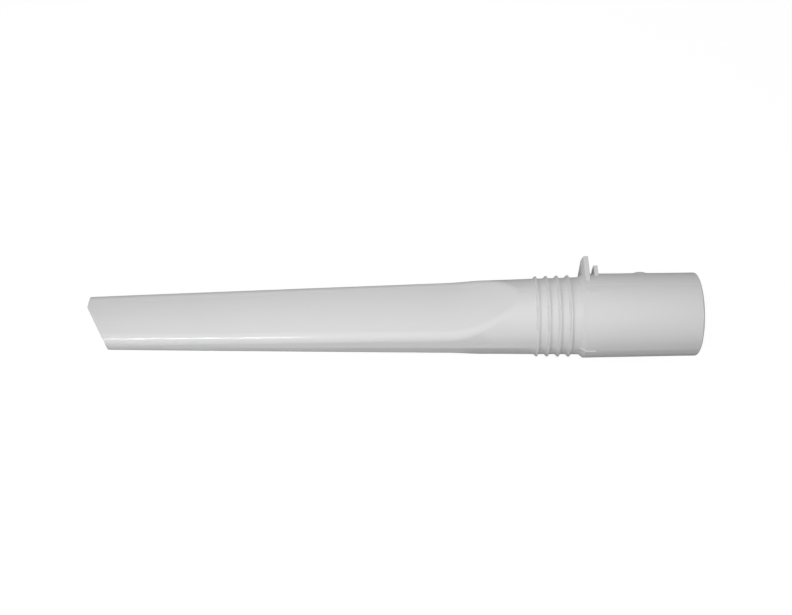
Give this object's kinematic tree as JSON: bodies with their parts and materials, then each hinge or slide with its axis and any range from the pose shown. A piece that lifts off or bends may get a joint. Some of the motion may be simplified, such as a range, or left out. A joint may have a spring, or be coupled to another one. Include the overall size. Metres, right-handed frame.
{
  "type": "vacuum crevice tool",
  "caption": "Light grey vacuum crevice tool: a hollow tapered tube flattened to a slanted slot tip, with grip ribs on the neck, a storage flange and a round wand socket.",
  "frame": {"origin": "centre of the wand socket's mouth", "axes": "+X runs along the tube out of the socket, the tip points to -X, +Z is square to the blade's flats and +Y is the narrow edge with the long side of the tip and the flange"},
  "size_m": [0.2686, 0.039, 0.0375],
  "materials": {
    "grey_plastic": "semi-gloss moulded"
  },
  "bodies": {
    "root": {"crevice_tool": "grey_plastic"}
  },
  "joints": []
}
